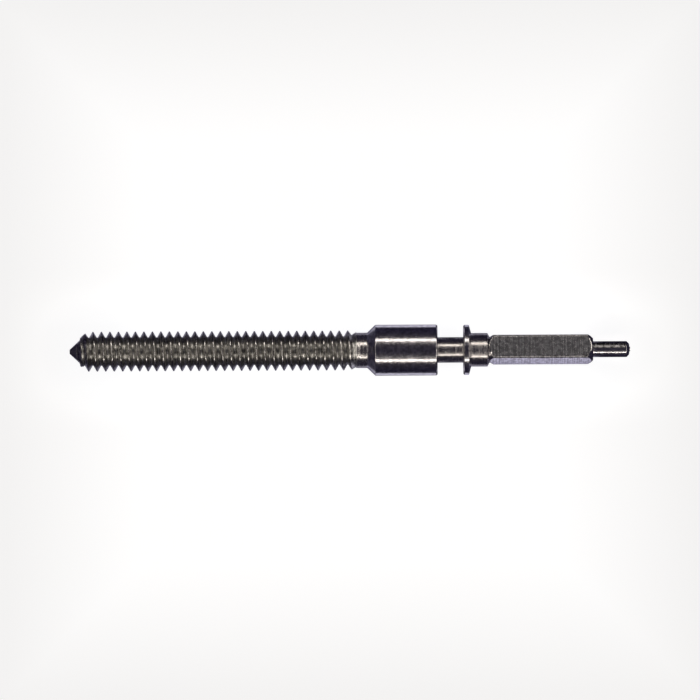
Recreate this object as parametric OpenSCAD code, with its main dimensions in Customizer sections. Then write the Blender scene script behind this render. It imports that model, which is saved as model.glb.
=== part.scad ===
// Winding stem of a small mechanical watch movement: one turned, thread-rolled
// and milled piece of hardened steel. Millimetres, +Z up.
// The stem lies along X. The pointed crown thread is at -X and the slim pilot
// at +X. The origin is on the axis, at the middle of the bearing barrel.

/* [Point and crown thread] */
// Diameter over the thread crests, a little under the thread's nominal 1.20
thread_major_d = 1.18; // [1.14:0.01:1.26]
// Advance of the thread in one turn
thread_pitch = 0.25; // [0.24:0.005:0.27]
// Height from thread root to thread crest
thread_depth = 0.175; // [0.13:0.005:0.18]
// Length from the tip to the end of the thread, with its runout
thread_l = 8.46; // [7.5:0.02:9.5]
// Diameter of the blunt tip
tip_d = 0.12; // [0.08:0.01:0.2]
// Length of the bare cone before the thread starts
point_l = 0.30; // [0.2:0.01:0.4]
// Slope of the cone against the axis
point_slope = 43.5; // [40:0.5:50]
// Diameter where the first crest stands up from the cone
thread_start_d = 0.84; // [0.8:0.01:0.9]
// Slope of the first crests against the axis
thread_start_slope = 37; // [25:1:40]

/* [Shank and bearing barrel] */
// Diameter of the plain blank that the thread is rolled into
shank_d = 1.04; // [1.0:0.01:1.08]
// Length of plain shank left beside the thread
shank_l = 0.30; // [0.2:0.02:0.6]
// Length of the cone that leads up to the barrel
lead_l = 0.24; // [0.2:0.02:0.4]
// Diameter of the barrel that turns in the main plate
barrel_d = 1.50; // [1.48:0.01:1.56]
// Length of the barrel
barrel_l = 1.83; // [1.5:0.01:2.2]
// Bevel at the inner end of the barrel
barrel_bevel = 0.035; // [0.02:0.005:0.06]

/* [Setting lever groove and collar] */
// Diameter of the neck between barrel and collar
neck_d = 0.75; // [0.68:0.01:0.82]
// Width of the groove that the setting lever's pin runs in
neck_l = 0.76; // [0.6:0.02:0.9]
// Diameter of the collar
collar_d = 1.48; // [1.4:0.01:1.48]
// Length of the collar along its rim
collar_rim_l = 0.165; // [0.12:0.005:0.25]
// Length of the collar's sloped back face
collar_back_l = 0.065; // [0.04:0.005:0.1]

/* [Pinion seat] */
// Diameter of the seat that the winding pinion turns on
seat_d = 0.99; // [0.98:0.01:1.04]
// Length of the seat
seat_l = 0.48; // [0.4:0.02:0.7]
// Diameter at the bottom of the relief beside the square
relief_d = 0.77; // [0.72:0.01:0.8]
// Length of the relief with the seat's end bevel
relief_l = 0.085; // [0.07:0.005:0.12]

/* [Square] */
// Distance across the flats of the square
square_w = 0.72; // [0.68:0.01:0.74]
// Diameter of the blank that the flats are milled into
square_blank_d = 0.956; // [0.94:0.002:0.97]
// Length of the square
square_l = 3.025; // [2.6:0.025:3.5]
// Length of the bevel at the seat end
square_bevel_in = 0.10; // [0.05:0.01:0.15]
// Length of the bevel at the pilot end
square_bevel_out = 0.16; // [0.1:0.01:0.2]
// How far the flats are turned about the axis
square_turn = 18; // [0:1:45]

/* [Pilot] */
// Diameter of the pilot that turns in the plate's inner hole
pilot_d = 0.47; // [0.44:0.01:0.5]
// Length of the pilot
pilot_l = 1.065; // [0.9:0.01:1.3]
// Rounding at the pilot's end
pilot_round = 0.08; // [0.05:0.01:0.1]
// Diameter of the pip that parting off leaves
pip_d = 0.14; // [0.1:0.01:0.16]
// Height of the pip
pip_h = 0.025; // [0.01:0.005:0.04]

/* [Hidden] */
$fn = 96;

// Places along the stem, counted from the tip
shank_end = thread_l + shank_l;
barrel_start = shank_end + lead_l;
barrel_end = barrel_start + barrel_l;
collar_start = barrel_end + neck_l;
collar_rim_end = collar_start + collar_rim_l;
seat_start = collar_rim_end + collar_back_l;
seat_end = seat_start + seat_l;
square_start = seat_end + relief_l;
square_end = square_start + square_l;
pilot_end = square_end + pilot_l;
barrel_middle = barrel_start + barrel_l / 2;

// Radii of the turned profile
thread_r = thread_major_d / 2;
root_r = thread_r - thread_depth;
shank_r = shank_d / 2;
barrel_r = barrel_d / 2;
neck_r = neck_d / 2;
collar_r = collar_d / 2;
seat_r = seat_d / 2;
relief_r = relief_d / 2;
blank_r = square_blank_d / 2;
pilot_r = pilot_d / 2;

// Rolled thread: symmetric 60 degree flanks, a narrow crest and a wider root
flank_run = thread_depth * tan(30);
crest_flat_share = 0.25;
crest_and_root_flats = thread_pitch - 2 * flank_run;
crest_flat = crest_and_root_flats * crest_flat_share;
// First whole crest on the +Y side, and the stretch where the last turn fades
first_crest = 0.688;
runout_l = 0.26;
// The thread starts inside the point's cone and ends inside the plain shank
thread_inset = 0.20;
embed_l = 0.03;
embed_r = 0.02;
// How far a shape that is cut away runs past the surface that it cuts
overrun = 0.1;
thread_sides = 24;
// Corners of one thread tooth, from crest to root, along its pitch
tooth_corners = 4;
root_start = crest_flat / 2 + flank_run;
tooth_x = [-crest_flat / 2, crest_flat / 2, root_start, thread_pitch - root_start];
tooth_r = [thread_r, thread_r, root_r, root_r];

// Small shapes that follow from the sizes above
collar_bevel_share = 0.2;
collar_bevel = collar_rim_l * collar_bevel_share;
relief_floor_share = 0.35;
relief_floor_l = relief_l * relief_floor_share;
pilot_steps = 6;
pip_r = pip_d / 2;

// Places of the thread's first and last corners
thread_turns_before = ceil((first_crest - thread_inset) / thread_pitch) + 2;
thread_turns_after = ceil((thread_l + embed_l - first_crest) / thread_pitch) + 1;
last_corner = tooth_corners * (thread_turns_before + thread_turns_after);

function clamp(v, low, high) = min(max(v, low), high);

// Place along the axis of corner m on side j, kept between the thread's ends
function corner_x(j, m) = clamp(
    first_crest + tooth_x[m % tooth_corners]
        + thread_pitch * (floor(m / tooth_corners) - thread_turns_before + j / thread_sides),
    thread_inset, thread_l + embed_l);

// The tooth fades into the shank over its last turn
function fade(x) = clamp((thread_l - x) / runout_l, 0, 1);
function corner_r(x, m) = x <= thread_inset
    ? root_r
    : let (end_r = shank_r - embed_r) end_r + (tooth_r[m % tooth_corners] - end_r) * fade(x);

// A ring of the polyhedron's side j: the blunt start, then every corner
function thread_column(j) = let (turn = 360 * j / thread_sides) [
    [-overrun, root_r * cos(turn), root_r * sin(turn)],
    for (m = [0 : last_corner])
        let (x = corner_x(j, m), r = corner_r(x, m)) [x, r * cos(turn), r * sin(turn)]
];

// Index of point k in column j. Past the last side, a corner is the one a pitch ahead
function thread_index(j, k) = j < thread_sides
    ? j * (last_corner + 2) + k
    : k == 0 ? 0 : min(k + tooth_corners, last_corner + 1);

module crown_thread() {
    sides = [for (j = [0 : thread_sides - 1], k = [0 : last_corner]) each [
        [thread_index(j, k), thread_index(j, k + 1), thread_index(j + 1, k + 1)],
        [thread_index(j, k), thread_index(j + 1, k + 1), thread_index(j + 1, k)]
    ]];
    start_cap = [for (j = [0 : thread_sides - 1]) thread_index(j, 0)];
    end_cap = [for (j = [thread_sides - 1 : -1 : 0]) thread_index(j, last_corner + 1)];
    polyhedron(
        points = [for (j = [0 : thread_sides - 1]) each thread_column(j)],
        faces = [start_cap, end_cap, each sides]);
}

// A solid of revolution about X from [place, radius] pairs
module turned(profile) {
    rotate([0, 90, 0])
        rotate_extrude()
            polygon([for (p = profile) [p[1], p[0]]]);
}

// The blank's point: a bare cone, then a step to the first crests, which rise more slowly
module point_envelope() {
    reach = thread_r + overrun;
    start_r = thread_start_d / 2;
    turned([
        [0, 0], [0, tip_d / 2],
        [point_l, tip_d / 2 + point_l * tan(point_slope)], [point_l, start_r],
        [point_l + (reach - start_r) / tan(thread_start_slope), reach],
        [thread_l + overrun, reach], [thread_l + overrun, 0]
    ]);
}

// Everything that is turned: shank, barrel, neck, collar, seat, square blank and pilot
module turned_body() {
    pilot_arc = [for (i = [0 : pilot_steps]) let (a = 90 * i / pilot_steps) [
        pilot_end - pilot_round + pilot_round * sin(a),
        pilot_r - pilot_round + pilot_round * cos(a)
    ]];
    turned([
        [thread_l - embed_l, 0],
        [thread_l - embed_l, shank_r], [shank_end, shank_r],
        [barrel_start, barrel_r],
        [barrel_end - barrel_bevel, barrel_r], [barrel_end, barrel_r - barrel_bevel],
        [barrel_end, neck_r], [collar_start, neck_r],
        [collar_start, collar_r - collar_bevel], [collar_start + collar_bevel, collar_r],
        [collar_rim_end, collar_r], [seat_start, seat_r],
        [seat_end, seat_r],
        [square_start - relief_floor_l, relief_r], [square_start, relief_r],
        [square_start + square_bevel_in, blank_r],
        [square_end - square_bevel_out, blank_r], [square_end, blank_r - square_bevel_out],
        [square_end, pilot_r],
        each pilot_arc,
        [pilot_end, pip_r], [pilot_end + pip_h, pip_r], [pilot_end + pip_h, 0]
    ]);
}

// The four milled flats, which run a little into the relief
module square_flats() {
    cut_start = square_start - relief_floor_l / 2;
    cut_l = square_end - cut_start + overrun;
    for (side = [0 : 3])
        rotate([90 * side - square_turn, 0, 0])
            translate([cut_start, -blank_r, square_w / 2])
                cube([cut_l, square_blank_d, blank_r]);
}

module winding_stem() {
    color("#8f8e96")
        translate([-barrel_middle, 0, 0]) {
            intersection() {
                crown_thread();
                point_envelope();
            }
            difference() {
                turned_body();
                square_flats();
            }
        }
}

winding_stem();
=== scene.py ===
import math
from collections import namedtuple

import bpy
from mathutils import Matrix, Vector


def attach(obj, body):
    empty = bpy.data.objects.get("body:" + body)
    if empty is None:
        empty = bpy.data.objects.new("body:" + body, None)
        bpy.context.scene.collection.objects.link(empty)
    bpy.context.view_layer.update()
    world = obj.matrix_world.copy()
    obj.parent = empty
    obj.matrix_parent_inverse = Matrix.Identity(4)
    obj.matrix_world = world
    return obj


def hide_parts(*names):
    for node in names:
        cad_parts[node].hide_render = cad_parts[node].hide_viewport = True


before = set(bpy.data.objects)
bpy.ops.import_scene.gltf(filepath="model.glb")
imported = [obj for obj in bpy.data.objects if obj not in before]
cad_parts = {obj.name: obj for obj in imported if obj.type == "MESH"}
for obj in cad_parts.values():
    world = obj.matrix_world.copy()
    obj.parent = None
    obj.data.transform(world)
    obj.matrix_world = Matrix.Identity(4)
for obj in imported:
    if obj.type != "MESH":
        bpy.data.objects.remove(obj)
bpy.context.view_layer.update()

# A watch winding stem lies along X on a pale floor, its crown thread at -X and its
# pilot at +X. The camera looks straight down on it. Lengths are in metres.
MM = 0.001

# Places along the stem, counted from its tip
THREAD_END = 8.46 * MM
SHANK_END = 8.76 * MM
BARREL_START = 9.00 * MM
BARREL_END = 10.83 * MM
COLLAR_START = 11.59 * MM
COLLAR_RIM_END = 11.755 * MM
SEAT_START = 11.82 * MM
SEAT_END = 12.30 * MM
SQUARE_START = 12.385 * MM
SQUARE_END = 15.41 * MM
PILOT_END = 16.475 * MM
BARREL_MIDDLE = (BARREL_START + BARREL_END) / 2

# Radii of the turned profile
TIP_R = 0.06 * MM
SHANK_R = 0.52 * MM
BARREL_R = 0.75 * MM
NECK_R = 0.375 * MM
COLLAR_R = 0.74 * MM
SEAT_R = 0.495 * MM
RELIEF_R = 0.385 * MM
BLANK_R = 0.483 * MM
PILOT_R = 0.235 * MM
PIP_R = 0.07 * MM

# Bevels and small steps
BARREL_BEVEL = 0.035 * MM
COLLAR_BEVEL = 0.033 * MM
RELIEF_FLOOR = 0.03 * MM
SQUARE_BEVEL_IN = 0.10 * MM
SQUARE_BEVEL_OUT = 0.16 * MM
PILOT_ROUND = 0.08 * MM
PIP_H = 0.025 * MM

# The bare cone of the point, and the step where the first crests stand up from it
POINT_L = 0.30 * MM
POINT_SLOPE = math.tan(math.radians(43.5))
STEP_R = 0.42 * MM
STEP_SLOPE = math.tan(math.radians(37))
STEP_ROUND = 0.012 * MM

# The rolled thread. Its crest is a narrow land between two roundings. It starts inside
# the cone and fades into the shank over the runout
PITCH = 0.25 * MM
CREST_R = 0.588 * MM
ROOT_R = 0.415 * MM
FLANK_TILT = math.radians(62)
CREST_LAND = 0.007 * MM
CREST_ROUND = 0.008 * MM
ROOT_ROUND = 0.028 * MM
CREST_STEPS = 2
ROOT_STEPS = 4
FLANK_HOLD = 0.08
FIRST_CREST = 0.688 * MM
THREAD_INSET = 0.20 * MM
RUNOUT = 0.26 * MM

# The milled square
FLAT_HALF = 0.36 * MM
FLAT_TURN = math.radians(18.2)
CORNER_ROUND = 0.110 * MM
CORNER_CREASE = math.radians(25)
BEVEL_WEAR = 0.01 * MM

# How the sides of a turn are shared out on the square. Each half flat with its half corner
# has an eighth of them, and half of those lie on the flat. The one just inside the flat's
# edge and the one just past it are narrow, so that the flat keeps its shade up to the edge.
# Their angles are in radians
SIDES = 96
COLUMN_SHARE = 8 / SIDES
FLAT_SHARE = 6 * COLUMN_SHARE
SHARE_SLACK = 0.01
HOLD_ANGLE = 0.012
EDGE_ANGLE = 0.003

# The pilot's upper side takes the dark rubbed finish where Y and Z are above these, as painted shade
# that dims its highlight
SHADE_LOW_EDGE = 0.03 * MM
SHADE_BACK_EDGE = 0.12 * MM

# How worn edges are rounded, which edges stay sharp, and how close points are welded
EDGE_STEPS = 4
EDGE_HOLD = 0.3
SHARP_EDGE = math.radians(50)
WELD = 2e-8

# The middle of the view along the stem
VIEW_MIDDLE = -1.66 * MM

# Stretches where the painted reflection of the floor beside the stem changes in brightness, and by
# how much:
# the start and end of the barrel, the start and end of the collar, and the start of the square
BARREL_LIT = (-1.05 * MM, -0.95 * MM)
BARREL_UNLIT = (0.90 * MM, 0.98 * MM)
LIGHT_CHANGES = (
    (BARREL_LIT, 0.5),
    (BARREL_UNLIT, -0.9),
    ((1.60 * MM, 1.67 * MM), 0.75),
    ((1.87 * MM, 1.93 * MM), -0.4),
    ((2.42 * MM, 2.50 * MM), 0.43),
)

POLISHED, TURNED, ROLLED, MILLED, POINT, RUBBED_AND_SHADED, CREST = range(7)

# One ring of the stem: its place and radius on the turned blank, how far its edge is
# worn round, whether it winds with the thread, whether the flats cut it, which way
# its bevel slides, and the finish of the faces that start at it
Ring = namedtuple("Ring", "x r worn winds milled slide finish")


def ring(x, r, finish, worn=0, winds=0, milled=0, slide=0):
    return Ring(x - BARREL_MIDDLE, r, worn, winds, milled, slide, finish)


def tooth():
    """One turn of the thread's profile, from a crest to just before the next."""
    half = [(0.0, CREST_R)]
    for i in range(CREST_STEPS + 1):
        tilt = FLANK_TILT * i / CREST_STEPS
        x = CREST_LAND + CREST_ROUND * math.sin(tilt)
        half.append((x, CREST_R - CREST_ROUND * (1 - math.cos(tilt))))
    for i in range(ROOT_STEPS, -1, -1):
        tilt = FLANK_TILT * i / ROOT_STEPS
        x = PITCH / 2 - ROOT_ROUND * math.sin(tilt)
        half.append((x, ROOT_R + ROOT_ROUND * (1 - math.cos(tilt))))

    # Two more rings keep each flank straight, close to the roundings at its ends
    top, foot = half[CREST_STEPS + 1], half[CREST_STEPS + 2]
    for share in (1 - FLANK_HOLD, FLANK_HOLD):
        x = top[0] + (foot[0] - top[0]) * share
        half.insert(CREST_STEPS + 2, (x, top[1] + (foot[1] - top[1]) * share))
    mirrored = [(PITCH - x, r) for x, r in half[-2:0:-1]]
    return half + mirrored


def thread_rings():
    """Rings of the thread, the same in each turn so that a turn ahead is the same ring."""
    first = math.floor((THREAD_INSET - FIRST_CREST) / PITCH) - 1
    last = math.ceil((THREAD_END - FIRST_CREST) / PITCH)
    profile = tooth()
    crest_foot = profile[CREST_STEPS + 1][1]
    rings = []
    for turn in range(first, last):
        start = FIRST_CREST + turn * PITCH
        for x, r in profile:
            rings.append(ring(start + x, r, CREST if r >= crest_foot else ROLLED, winds=1))
    return rings + [ring(FIRST_CREST + last * PITCH, CREST_R, ROLLED, winds=1)]


def outline():
    """The turned outline from tip to pilot, ring by ring."""
    cut_start = SQUARE_START - RELIEF_FLOOR / 2
    bevel_in = SQUARE_START + SQUARE_BEVEL_IN
    bevel_out = SQUARE_END - SQUARE_BEVEL_OUT
    fine, plain, heavy = 0.006 * MM, 0.012 * MM, 0.036 * MM
    return [
        ring(0, 0, POINT),
        ring(0, TIP_R, POINT, worn=plain),
        ring(THREAD_INSET, TIP_R + THREAD_INSET * POINT_SLOPE, POINT),
        *thread_rings(),
        ring(THREAD_END, SHANK_R, TURNED),
        ring(SHANK_END, SHANK_R, POLISHED, worn=fine),
        ring(BARREL_START, BARREL_R, POLISHED, worn=fine),
        ring(BARREL_END - BARREL_BEVEL, BARREL_R, POLISHED, worn=plain),
        ring(BARREL_END, BARREL_R - BARREL_BEVEL, TURNED, worn=fine),
        ring(BARREL_END, NECK_R, TURNED, worn=fine),
        ring(COLLAR_START, NECK_R, TURNED, worn=fine),
        ring(COLLAR_START, COLLAR_R - COLLAR_BEVEL, TURNED, worn=fine),
        ring(COLLAR_START + COLLAR_BEVEL, COLLAR_R, POLISHED, worn=fine),
        ring(COLLAR_RIM_END, COLLAR_R, POLISHED, worn=fine),
        ring(SEAT_START, SEAT_R, TURNED, worn=fine),
        ring(SEAT_END, SEAT_R, TURNED, worn=fine),
        ring(SQUARE_START - RELIEF_FLOOR, RELIEF_R, TURNED),
        ring(cut_start, RELIEF_R, MILLED),
        ring(cut_start, RELIEF_R, MILLED, milled=1),
        ring(SQUARE_START, RELIEF_R, MILLED, milled=1),
        ring(bevel_in, BLANK_R, MILLED, milled=1, slide=-1),
        ring(bevel_in + 2 * fine, BLANK_R, MILLED, milled=1, slide=-1),
        ring(bevel_out - 4 * fine, BLANK_R, MILLED, milled=1, slide=1),
        ring(bevel_out, BLANK_R, POLISHED, milled=1, slide=1),
        ring(SQUARE_END, BLANK_R - SQUARE_BEVEL_OUT, TURNED, worn=fine),
        # The pilot starts with the rubbed finish, which the tree keeps only on its upper side, as
        # painted shade
        ring(SQUARE_END, PILOT_R, RUBBED_AND_SHADED, worn=fine),
        ring(PILOT_END - PILOT_ROUND, PILOT_R, POLISHED, worn=plain),
        ring(PILOT_END, PILOT_R - PILOT_ROUND, POLISHED, worn=heavy),
        ring(PILOT_END, PIP_R, TURNED),
        ring(PILOT_END + PIP_H, PIP_R, TURNED),
        ring(PILOT_END + PIP_H, 0, TURNED),
    ]


def wear_edges(rings):
    """Rounds each worn edge, with a ring on either side that keeps its neighbours flat."""
    worn = []
    for before, here, after in zip([None, *rings], rings, [*rings[1:], None]):
        if not here.worn:
            worn.append(here)
            continue
        corner = Vector((here.x, here.r))
        back = (Vector((before.x, before.r)) - corner).normalized() * here.worn
        ahead = (Vector((after.x, after.r)) - corner).normalized() * here.worn
        places = [back * (1 + EDGE_HOLD)]
        for i in range(EDGE_STEPS + 1):
            share = i / EDGE_STEPS
            places.append(back * (1 - share) ** 2 + ahead * share ** 2)
        places.append(ahead * (1 + EDGE_HOLD))
        for i, offset in enumerate(places):
            x, r = corner + offset
            finish = before.finish if i < EDGE_STEPS / 2 else here.finish
            worn.append(here._replace(x=x, r=r, finish=finish))
    return worn


class Graph:
    """Adds nodes to a node tree. A value is a socket to link or a plain setting."""

    def __init__(self, tree):
        self.tree = tree

    def node(self, kind, *values, out=0, **settings):
        made = self.tree.nodes.new(kind)
        for name, setting in settings.items():
            setattr(made, name, setting)
        for socket, value in zip([s for s in made.inputs if s.enabled], values):
            self.plug(socket, value)
        return [s for s in made.outputs if s.enabled][out]

    def plug(self, socket, value):
        if isinstance(value, bpy.types.NodeSocket):
            self.tree.links.new(value, socket)
        elif value is not None:
            socket.default_value = value

    def math(self, operation, *values, **settings):
        return self.node("ShaderNodeMath", *values, operation=operation, **settings)

    def mix(self, share, low, high):
        return self.node("ShaderNodeMix", share, low, high, clamp_factor=True)

    def blend(self, share, low, high):
        return self.node("ShaderNodeMix", share, low, high, data_type="RGBA", clamp_factor=True)

    def noise(self, place, spacing, detail=2.0, roughness=0.6):
        return self.node("ShaderNodeTexNoise", place, 1 / spacing, detail, roughness)

    def ramp(self, value, start, end, low, high, smooth=True):
        kind = "SMOOTHSTEP" if smooth else "LINEAR"
        return self.node("ShaderNodeMapRange", value, start, end, low, high, interpolation_type=kind)


class Turner(Graph):
    """The tree that turns the stem from its outline, with a socket for each size."""

    def __init__(self):
        super().__init__(bpy.data.node_groups.new("turn_and_thread", "GeometryNodeTree"))
        self.tree.is_modifier = True
        self.settings = {}
        self.tree.interface.new_socket("Outline", in_out="INPUT", socket_type="NodeSocketGeometry")
        self.tree.interface.new_socket("Stem", in_out="OUTPUT", socket_type="NodeSocketGeometry")
        self.inlet = self.tree.nodes.new("NodeGroupInput")

    def size(self, name, value, kind="NodeSocketFloat"):
        socket = self.tree.interface.new_socket(name, in_out="INPUT", socket_type=kind)
        self.settings[socket.identifier] = value
        return self.inlet.outputs[name]

    def fit(self, obj):
        modifier = obj.modifiers.new("turning", "NODES")
        modifier.node_group = self.tree
        for identifier, value in self.settings.items():
            modifier[identifier] = value

    def sample(self, field, index, kind="FLOAT"):
        return self.node(
            "GeometryNodeSampleIndex", self.inlet.outputs["Outline"], field, index, data_type=kind)

    def attribute(self, name):
        return self.node("GeometryNodeInputNamedAttribute", name, data_type="FLOAT")


def turning_tree(finishes):
    """Turns each ring of the outline round X, winds the thread and mills the flats."""
    g = Turner()
    sides = g.size("Sides", SIDES, "NodeSocketInt")
    pitch = g.size("Thread pitch", PITCH)
    thread_start = g.size("Thread start", THREAD_INSET - BARREL_MIDDLE)
    thread_end = g.size("Thread end", THREAD_END - BARREL_MIDDLE)
    runout = g.size("Runout", RUNOUT)
    shank_r = g.size("Shank radius", SHANK_R)
    tip = g.size("Tip", -BARREL_MIDDLE)
    tip_r = g.size("Tip radius", TIP_R)
    point_slope = g.size("Point slope", POINT_SLOPE)
    point_end = g.size("Point end", POINT_L - BARREL_MIDDLE)
    step_r = g.size("Step radius", STEP_R)
    step_slope = g.size("Slope past the step", STEP_SLOPE)
    step_round = g.size("Step rounding", STEP_ROUND)
    flat_half = g.size("Centre to flat", FLAT_HALF)
    corner = g.size("First corner", math.pi / 4 - FLAT_TURN)
    corner_round = g.size("Corner rounding", CORNER_ROUND)
    crease = g.size("Crease beside the corner", CORNER_CREASE)
    flat_share = g.size("Share of columns on a flat", FLAT_SHARE)
    bevel_wear = g.size("Bevel wear", BEVEL_WEAR)
    shade_low_edge = g.size("Painted shade's low edge", SHADE_LOW_EDGE)
    shade_back_edge = g.size("Painted shade's back edge", SHADE_BACK_EDGE)
    sharp = g.size("Sharp edge angle", SHARP_EDGE)

    rings = g.node("GeometryNodeAttributeDomainSize", g.inlet.outputs["Outline"])
    columns = g.math("ADD", sides, 1)
    grid = g.node("GeometryNodeMeshGrid", 1.0, 1.0, rings, columns)

    index = g.node("GeometryNodeInputIndex")
    ring_of = g.math("FLOOR", g.math("DIVIDE", index, columns))
    column = g.math("SUBTRACT", index, g.math("MULTIPLY", ring_of, columns))

    position = g.node("GeometryNodeInputPosition")
    place = g.node("ShaderNodeSeparateXYZ", g.sample(position, ring_of, "FLOAT_VECTOR"))
    blank_x, blank_r = place, place.node.outputs["Y"]
    winds = g.sample(g.attribute("winds"), ring_of)
    milled = g.sample(g.attribute("milled"), ring_of)
    slide = g.sample(g.attribute("slide"), ring_of)

    # Half of the columns share out the flats of the square, and the others its rounded corners
    quarter = g.math("MULTIPLY", g.math("DIVIDE", column, sides), 4.0)
    quarter_start = g.math("FLOOR", quarter)
    across = g.math("MULTIPLY_ADD", g.math("SUBTRACT", quarter, quarter_start), 2.0, -1.0)
    off_middle = g.math("ABSOLUTE", across)
    arc_back = g.math("MULTIPLY", corner_round, g.math("COSINE", crease))
    arc_place = g.math("SUBTRACT", flat_half, arc_back)
    flat_end = g.math("MULTIPLY_ADD", corner_round, g.math("SINE", crease), arc_place)
    last_flat = g.math("ARCTAN2", flat_end, flat_half)
    held_angle = g.math("SUBTRACT", last_flat, HOLD_ANGLE)
    held_share = g.math("SUBTRACT", flat_share, COLUMN_SHARE)
    on_flat = g.ramp(off_middle, 0.0, held_share, 0.0, held_angle, smooth=False)
    on_hold = g.ramp(off_middle, held_share, flat_share, 0.0, HOLD_ANGLE, smooth=False)
    arc_start = g.math("ADD", flat_share, COLUMN_SHARE)
    on_edge = g.ramp(off_middle, flat_share, arc_start, 0.0, EDGE_ANGLE, smooth=False)
    arc_angle = g.math("SUBTRACT", math.pi / 4 - EDGE_ANGLE, last_flat)
    on_corner = g.ramp(off_middle, arc_start, 1.0, 0.0, arc_angle, smooth=False)
    off_flat = g.math("ADD", g.math("ADD", on_flat, on_hold), g.math("ADD", on_edge, on_corner))
    side_angle = g.math("MULTIPLY", g.math("SIGN", across), off_flat)
    quarter_middle = g.math("MULTIPLY", g.math("ADD", quarter_start, 0.5), math.pi / 2)
    angle = g.math("ADD", g.math("ADD", quarter_middle, side_angle), corner)

    # The thread's rings move on by a pitch in each turn
    turns = g.math("DIVIDE", angle, 2 * math.pi)
    wound_x = g.math("MULTIPLY_ADD", pitch, turns, blank_x)
    wound_x = g.math("MAXIMUM", g.math("MINIMUM", wound_x, thread_end), thread_start)
    x = g.mix(winds, blank_x, wound_x)

    fade = g.math("DIVIDE", g.math("SUBTRACT", thread_end, x), runout, use_clamp=True)
    faded_r = g.mix(fade, shank_r, blank_r)

    # The cone of the point, and past its end the first crests, which rise more slowly
    past_point = g.math("SUBTRACT", x, point_end)
    cone_r = g.math("MULTIPLY_ADD", g.math("SUBTRACT", x, tip), point_slope, tip_r)
    rising_r = g.math("MULTIPLY_ADD", past_point, step_slope, step_r)
    stepped = g.math("DIVIDE", past_point, step_round, use_clamp=True)
    limit_r = g.mix(stepped, cone_r, rising_r)
    pointed_r = g.math("SMOOTH_MIN", faded_r, limit_r, step_round)
    turned_r = g.mix(winds, blank_r, pointed_r)

    # A flat, and past its end the arc that rounds the corner
    flat_r = g.math("DIVIDE", flat_half, g.math("COSINE", side_angle))
    arc_middle = g.math("MULTIPLY", arc_place, math.sqrt(2))
    off_corner = g.math("SUBTRACT", math.pi / 4, g.math("ABSOLUTE", side_angle))
    aside = g.math("MULTIPLY", arc_middle, g.math("SINE", off_corner))
    ahead = g.math("MULTIPLY", arc_middle, g.math("COSINE", off_corner))
    span = g.math("SUBTRACT", g.math("POWER", corner_round, 2.0), g.math("POWER", aside, 2.0))
    arc_r = g.math("ADD", ahead, g.math("SQRT", g.math("MAXIMUM", span, 0.0)))
    past_flat = g.math("GREATER_THAN", off_middle, g.math("ADD", flat_share, SHARE_SLACK))
    square_r = g.mix(past_flat, flat_r, arc_r)
    cut_r = g.math("SMOOTH_MIN", turned_r, square_r, bevel_wear)
    r = g.mix(milled, turned_r, cut_r)
    x = g.math("MULTIPLY_ADD", slide, g.math("SUBTRACT", turned_r, r), x)
    y = g.math("MULTIPLY", r, g.math("COSINE", angle))
    z = g.math("MULTIPLY", r, g.math("SINE", angle))
    shaped = g.node("GeometryNodeSetPosition", grid, True, g.node("ShaderNodeCombineXYZ", x, y, z))

    # A face has the finish of the ring that it starts from. The clutch has rubbed the square's
    # corners dull, and the pilot's upper side takes the same dark finish as painted shade over its
    # highlight, while the rest of it stays polished
    face_place = g.math("DIVIDE", index, sides)
    finish = g.sample(g.attribute("finish"), g.math("FLOOR", face_place))
    half_face = g.math("DIVIDE", 2.0, sides)
    face_quarter = g.math("FRACT", g.math("MULTIPLY_ADD", face_place, 4.0, half_face))
    face_across = g.math("ABSOLUTE", g.math("MULTIPLY_ADD", face_quarter, 2.0, -1.0))
    land = g.math("GREATER_THAN", face_across, flat_share)
    on_mill = g.math("COMPARE", finish, float(MILLED), 0.5)
    dulled = g.math("MULTIPLY", land, on_mill)
    spot = g.node("ShaderNodeSeparateXYZ", g.node("GeometryNodeInputPosition"))
    low = g.math("LESS_THAN", spot.node.outputs["Y"], shade_low_edge)
    behind = g.math("LESS_THAN", spot.node.outputs["Z"], shade_back_edge)
    on_pilot = g.math("COMPARE", finish, float(RUBBED_AND_SHADED), 0.5)
    unshaded_pilot = g.math("MULTIPLY", on_pilot, g.math("MAXIMUM", low, behind))
    finish = g.mix(unshaded_pilot, finish, float(POLISHED))
    finish = g.mix(dulled, finish, float(RUBBED_AND_SHADED))
    named = g.node(
        "GeometryNodeStoreNamedAttribute", shaped, True, "finish", finish,
        data_type="FLOAT", domain="FACE")
    welded = g.node("GeometryNodeMergeByDistance", named, True, WELD)
    outward = g.node("GeometryNodeFlipFaces", welded, True)
    smooth = g.node("GeometryNodeSetShadeSmooth", outward, True, True, domain="FACE")
    bend = g.node("GeometryNodeInputMeshEdgeAngle")
    gentle = g.node("FunctionNodeCompare", bend, sharp, operation="LESS_THAN")
    creased = g.node("GeometryNodeSetShadeSmooth", smooth, True, gentle, domain="EDGE")

    finished = g.node("GeometryNodeRealizeInstances", creased)
    for number, material in enumerate(finishes):
        chosen = g.node(
            "FunctionNodeCompare", g.attribute("finish"), float(number), 0.5, operation="EQUAL")
        finished = g.node("GeometryNodeSetMaterial", finished, chosen, material)
    outlet = g.tree.nodes.new("NodeGroupOutput")
    g.plug(outlet.inputs["Stem"], finished)
    return g


# How each finish looks. Lines run round the stem, and grain lies in all directions:
# spacing and depth in metres, as tool, rolls and polishing left them
Finish = namedtuple(
    "Finish", "name colour stain roughness uneven line_spacing line_depth grain_spacing grain_depth")

# How far lines are drawn out round the stem, how much wider than a line a mark is, how wide
# stains are, how much grain shows in the tint, and between what values most of a noise lies
LINE_STRETCH = 300
MARK_WIDTH = 2.6
STAIN_SPACING = 0.11 * MM
SPECK = 0.35
NOISE_LOW, NOISE_HIGH = 0.35, 0.65


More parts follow.
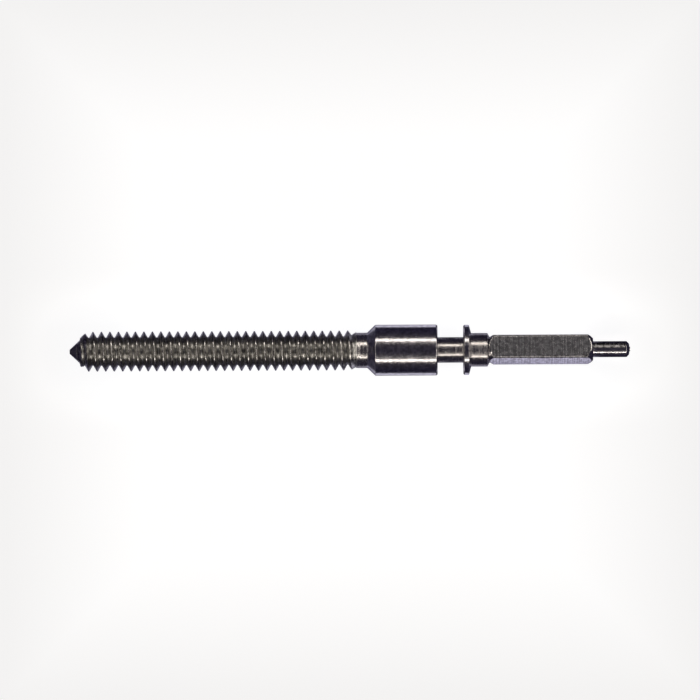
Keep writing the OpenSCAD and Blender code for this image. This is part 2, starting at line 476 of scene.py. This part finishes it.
def bare_steel(finish):
    """Bare steel with rings of tool marks, fine grain and faint stains."""
    material = bpy.data.materials.new(finish.name)
    material.use_nodes = True
    tree = material.node_tree
    tree.nodes.clear()
    g = Graph(tree)
    place = g.node("ShaderNodeTexCoord", out=3)
    drawn_out = (1, 1 / LINE_STRETCH, 1 / LINE_STRETCH)
    stretched = g.node("ShaderNodeMapping", place, None, None, drawn_out)
    lines = g.noise(stretched, finish.line_spacing)
    marks = g.noise(stretched, finish.line_spacing * MARK_WIDTH)
    grain = g.noise(place, finish.grain_spacing)
    blotches = g.noise(place, STAIN_SPACING, detail=3.0)

    line_height = g.math("MULTIPLY", lines, finish.line_depth)
    height = g.math("MULTIPLY_ADD", grain, finish.grain_depth, line_height)
    bump = g.node("ShaderNodeBump", 1.0, 1.0, None, height)
    wear = g.ramp(blotches, NOISE_LOW, NOISE_HIGH, 0.0, 1.0)
    mark = g.ramp(marks, NOISE_LOW, NOISE_HIGH, -finish.uneven, finish.uneven, smooth=False)
    speck = g.ramp(grain, NOISE_LOW, NOISE_HIGH, -SPECK, SPECK, smooth=False)
    tone = g.math("ADD", wear, g.math("ADD", mark, speck))
    tint = g.blend(tone, (*finish.stain, 1), (*finish.colour, 1))
    smoother, rougher = finish.roughness * 0.8, finish.roughness * 1.2
    rough = g.ramp(grain, 0.3, 0.7, smoother, rougher, smooth=False)
    rough = g.math("MULTIPLY", rough, g.math("MULTIPLY_ADD", mark, 0.5, 1.0))

    shader = tree.nodes.new("ShaderNodeBsdfPrincipled")
    shader.inputs["Metallic"].default_value = 1.0
    g.plug(shader.inputs["Base Color"], tint)
    g.plug(shader.inputs["Roughness"], rough)
    g.plug(shader.inputs["Normal"], bump)
    outlet = tree.nodes.new("ShaderNodeOutputMaterial")
    tree.links.new(shader.outputs[0], outlet.inputs[0])
    return material


def steel_finishes():
    micron = 0.001 * MM
    return [
        Finish("polished_steel", (0.54, 0.52, 0.54), (0.31, 0.30, 0.32), 0.21, 0.1,
               40 * micron, 0.4 * micron, 44 * micron, 0.8 * micron),
        Finish("turned_steel", (0.43, 0.41, 0.41), (0.33, 0.31, 0.31), 0.23, 0.2,
               16 * micron, 7.2 * micron, 24 * micron, 0.9 * micron),
        Finish("rolled_thread_steel", (0.53, 0.52, 0.505), (0.17, 0.165, 0.16), 0.32, 0.4,
               14 * micron, 2.4 * micron, 32 * micron, 3.4 * micron),
        Finish("milled_steel", (0.54, 0.52, 0.53), (0.26, 0.25, 0.26), 0.10, 0.6,
               18 * micron, 0.15 * micron, 30 * micron, 0.05 * micron),
        Finish("pointed_end_steel", (0.34, 0.33, 0.36), (0.26, 0.25, 0.28), 0.30, 0.1,
               24 * micron, 1.5 * micron, 20 * micron, 1.0 * micron),
        # Worn dull on the square's corners, and painted shade on the pilot's upper side
        Finish("rubbed_and_shaded_steel", (0.27, 0.26, 0.27), (0.06, 0.058, 0.06), 0.35, 0.5,
               30 * micron, 0.8 * micron, 30 * micron, 0.8 * micron),
        Finish("burnished_crest_steel", (0.60, 0.58, 0.56), (0.13, 0.125, 0.12), 0.19, 0.8,
               14 * micron, 0.6 * micron, 34 * micron, 1.0 * micron),
    ]


def make_stem():
    rings = wear_edges(outline())
    mesh = bpy.data.meshes.new("stem_outline")
    mesh.from_pydata([(p.x, p.r, 0) for p in rings], [], [])
    for name in ("winds", "milled", "slide", "finish"):
        values = mesh.attributes.new(name, "FLOAT", "POINT")
        for i, p in enumerate(rings):
            values.data[i].value = getattr(p, name)
    blank = bpy.data.objects.new("stem_outline", mesh)
    bpy.context.collection.objects.link(blank)
    turning_tree([bare_steel(finish) for finish in steel_finishes()]).fit(blank)
    evaluated = blank.evaluated_get(bpy.context.evaluated_depsgraph_get())
    turned = bpy.data.meshes.new_from_object(evaluated)
    bpy.data.objects.remove(blank)
    turned.attributes.remove(turned.attributes["finish"])
    stem = bpy.data.objects.new("turned_stem", turned)
    bpy.context.collection.objects.link(stem)
    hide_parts("winding_stem")
    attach(stem, "root")


def painted_floor_reflection(g, across, along):
    """A painted reflection of the floor for the steel: painted light beside the stem, painted shade
    under and past it.
    """
    glow_reach, more_at_barrel, glow_fade = 1.9 * MM, 0.3 * MM, 0.45 * MM
    shank_shade, barrel_shade, pilot_shade, shade_fade = 0.95 * MM, 1.25 * MM, 0.9 * MM, 0.2 * MM
    deep_shade = 0.07

    distance = g.math("ABSOLUTE", across)
    barrel = g.math("MULTIPLY", g.ramp(along, *BARREL_LIT, 0.0, 1.0),
                    g.ramp(along, *BARREL_UNLIT, 1.0, 0.0))
    reach = g.math("MULTIPLY_ADD", barrel, more_at_barrel, glow_reach)
    beside = g.ramp(distance, g.math("SUBTRACT", reach, glow_fade), reach, 1.0, 0.0)
    to_barrel = g.ramp(along, -1.3 * MM, -1.05 * MM, shank_shade, barrel_shade)
    to_pilot = g.ramp(along, 1.2 * MM, 2.0 * MM, barrel_shade, pilot_shade)
    shade_end = g.math("MINIMUM", to_barrel, to_pilot)
    shade_start = g.math("SUBTRACT", shade_end, shade_fade)
    shaded = g.ramp(distance, shade_start, shade_end, deep_shade, 1.0)

    # The painted light beside it changes from the shank over barrel, groove, collar and seat to the
    # square
    level = 0.5
    for (start, end), change in LIGHT_CHANGES:
        level = g.math("ADD", level, g.ramp(along, start, end, 0.0, change))
    body = g.math("MULTIPLY", g.math("MULTIPLY", beside, shaded), level)

    # Under the thread, which is farther from the floor, the painted light comes in closer
    thread = g.math("MULTIPLY", g.ramp(distance, 0.35 * MM, 0.5 * MM, deep_shade, 0.55),
                    g.ramp(distance, 0.65 * MM, 1.0 * MM, 1.0, 0.08))
    on_thread = g.ramp(along, -2.05 * MM, -1.85 * MM, 1.0, 0.0)
    lit = g.mix(on_thread, body, thread)
    past_tip = g.ramp(along, -BARREL_MIDDLE - 0.6 * MM, -BARREL_MIDDLE, 0.0, 1.0)
    end = SQUARE_END - BARREL_MIDDLE
    past_square = g.ramp(along, end - 0.1 * MM, end + 0.3 * MM, 1.0, 0.0)
    lit = g.math("MULTIPLY", lit, g.math("MULTIPLY", past_tip, past_square))
    farther = g.ramp(distance, 0.95 * MM, 1.3 * MM, 0.0, 1.0)
    pale = g.blend(farther, (0.72, 0.70, 0.92, 1), (1.04, 1.02, 1.20, 1))
    return g.blend(lit, (0.024, 0.021, 0.046, 1), pale)


def make_floor():
    """A pale floor under the barrel, white to the camera, with the stem's soft shadow. To the steel
    it shows only a painted reflection.
    """
    size = 1.5
    middle_white, edge_white, painted_light_beside = 0.78, 0.67, 0.1
    z = -BARREL_R
    corners = [(-size, -size, z), (size, -size, z), (size, size, z), (-size, size, z)]
    mesh = bpy.data.meshes.new("floor")
    mesh.from_pydata(corners, [], [(0, 1, 2, 3)])
    floor = bpy.data.objects.new("floor", mesh)
    bpy.context.collection.objects.link(floor)
    material = bpy.data.materials.new("pale_floor")
    material.use_nodes = True
    tree = material.node_tree
    tree.nodes.clear()
    g = Graph(tree)
    place = g.node("ShaderNodeSeparateXYZ", g.node("ShaderNodeTexCoord", out=3))
    painted_reflection = painted_floor_reflection(g, place.node.outputs["Y"], place)
    across = g.math("ABSOLUTE", place.node.outputs["Y"])
    aside = g.math("ABSOLUTE", g.math("SUBTRACT", place, VIEW_MIDDLE))
    from_middle = g.math("MAXIMUM", aside, across)
    # To the camera the white is painted darker towards the edges of the view, as light falling off,
    # and painted lighter beside the stem, over its shadow
    pale = g.ramp(from_middle, 6.3 * MM, 10.2 * MM, middle_white, edge_white, smooth=False)
    beside = g.math("MULTIPLY", g.ramp(across, 0.8 * MM, 2.5 * MM, painted_light_beside, 0.0),
                    g.ramp(aside, 6.0 * MM, 11.0 * MM, 1.0, 0.0))
    pale = g.math("ADD", pale, beside)
    rays = g.node("ShaderNodeLightPath")
    glossy = rays.node.outputs["Is Glossy Ray"]
    seen = g.math("MAXIMUM", rays, rays.node.outputs["Is Transmission Ray"])
    white = g.blend(g.math("MULTIPLY", seen, pale), (0, 0, 0, 1), (1.0, 1.007, 1.025, 1))
    # Glossy rays see the painted reflection instead of the camera's white
    light = g.blend(glossy, white, painted_reflection)
    light = g.node("ShaderNodeEmission", light, 1.0)
    grey = g.blend(glossy, (0.3, 0.3, 0.3, 1), (0, 0, 0, 1))
    matt = g.node("ShaderNodeBsdfDiffuse", grey, 1.0)
    outlet = tree.nodes.new("ShaderNodeOutputMaterial")
    tree.links.new(g.node("ShaderNodeAddShader", light, matt), outlet.inputs[0])
    mesh.materials.append(material)


def make_ring_lamp():
    """A ring of lamps round the camera's line, a little stronger at -Y."""
    lamps = 24
    distance, width = 0.25, 0.034
    power, lean = 0.034, 0.09
    spread = math.radians(46.6)
    length = 2 * math.pi * distance * math.sin(spread) / lamps
    middle = Vector((VIEW_MIDDLE, 0, 0))
    for i in range(lamps):
        turn = 2 * math.pi * i / lamps
        toward = Vector((
            math.sin(spread) * math.cos(turn), math.sin(spread) * math.sin(turn), math.cos(spread)))
        data = bpy.data.lights.new(f"ring_lamp_{i}", "AREA")
        data.shape = "RECTANGLE"
        data.size, data.size_y = length, width
        data.color = (1.0, 0.94, 0.84)
        data.energy = power * (1 - lean * math.sin(turn))
        lamp = bpy.data.objects.new(f"ring_lamp_{i}", data)
        lamp.location = middle + toward * distance
        lamp.rotation_euler = toward.to_track_quat("Z", "Y").to_euler()
        lamp.visible_camera = False
        bpy.context.collection.objects.link(lamp)


def dim_the_room():
    """White past the floor's edge, and to the steel a dim violet room with a halo at the lamps."""
    violet, halo_grey = (0.026, 0.023, 0.046, 1), (0.150, 0.147, 0.150, 1)
    world = bpy.data.worlds.new("dim_room")
    world.use_nodes = True
    tree = world.node_tree
    tree.nodes.clear()
    g = Graph(tree)
    toward = g.node("ShaderNodeSeparateXYZ", g.node("ShaderNodeTexCoord"))
    height = toward.node.outputs["Z"]
    halo = g.math("MULTIPLY", g.ramp(height, 0.82, 0.93, 1.0, 0.0),
                  g.ramp(height, 0.55, 0.70, 0.0, 1.0))
    room = g.blend(halo, violet, halo_grey)
    rays = g.node("ShaderNodeLightPath")
    seen = g.math("MAXIMUM", rays, rays.node.outputs["Is Transmission Ray"])
    colour = g.blend(seen, room, (1, 1, 1, 1))
    outlet = tree.nodes.new("ShaderNodeOutputWorld")
    tree.links.new(g.node("ShaderNodeBackground", colour, 1.0), outlet.inputs[0])
    bpy.context.scene.world = world


def make_camera():
    """Straight above the stem, with the photograph's field of view and slight roll."""
    field = 20.61 * MM
    aim_x, aim_y = -1.661 * MM, 0.0124 * MM
    roll = math.radians(-0.285)
    data = bpy.data.cameras.new("camera")
    data.sensor_width = 36
    data.lens = 600
    data.clip_start, data.clip_end = 0.001, 5
    camera = bpy.data.objects.new("camera", data)
    distance = field / 2 / (data.sensor_width / 2 / data.lens)
    camera.location = (aim_x, aim_y, distance)
    camera.rotation_euler = (0, 0, roll)
    bpy.context.collection.objects.link(camera)
    bpy.context.scene.camera = camera


make_stem()
make_floor()
make_ring_lamp()
dim_the_room()
make_camera()
bpy.context.scene.view_settings.view_transform = "Standard"
